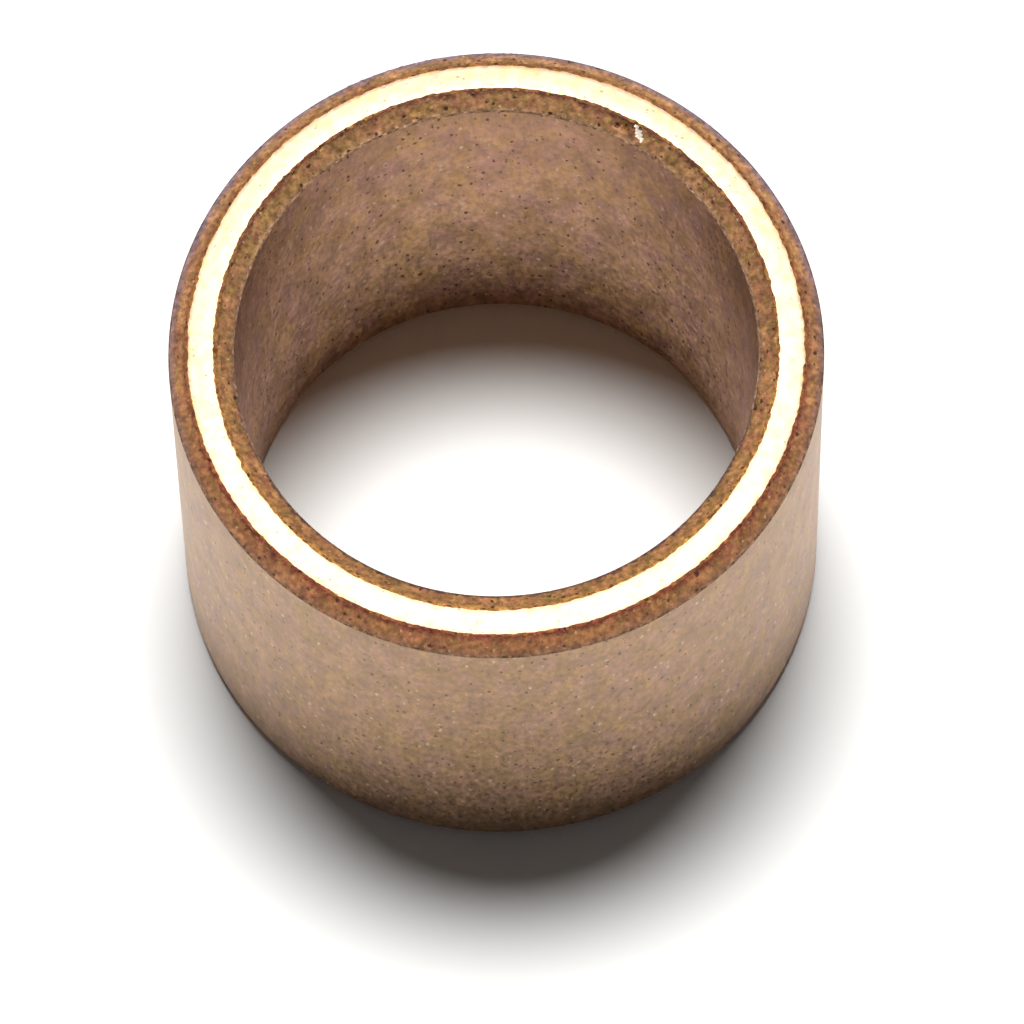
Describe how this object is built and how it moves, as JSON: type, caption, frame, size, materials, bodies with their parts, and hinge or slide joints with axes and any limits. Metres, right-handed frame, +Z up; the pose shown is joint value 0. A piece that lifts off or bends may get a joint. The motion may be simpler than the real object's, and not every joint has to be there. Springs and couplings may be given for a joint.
{
  "type": "sleeve bushing",
  "caption": "Plain cylindrical sleeve bushing in sintered bronze, with a through bore, flat ends and chamfered edges at both ends.",
  "frame": {"origin": "centre of the lower end face, on the axis of the bore", "axes": "+Z up the axis of the bore, towards the upper end; the part is round, so X and Y are free"},
  "size_m": [0.016, 0.016, 0.0127],
  "materials": {
    "sintered_bronze": "as-sintered, fine porous satin"
  },
  "bodies": {
    "root": {"sleeve": "sintered_bronze"}
  },
  "joints": []
}
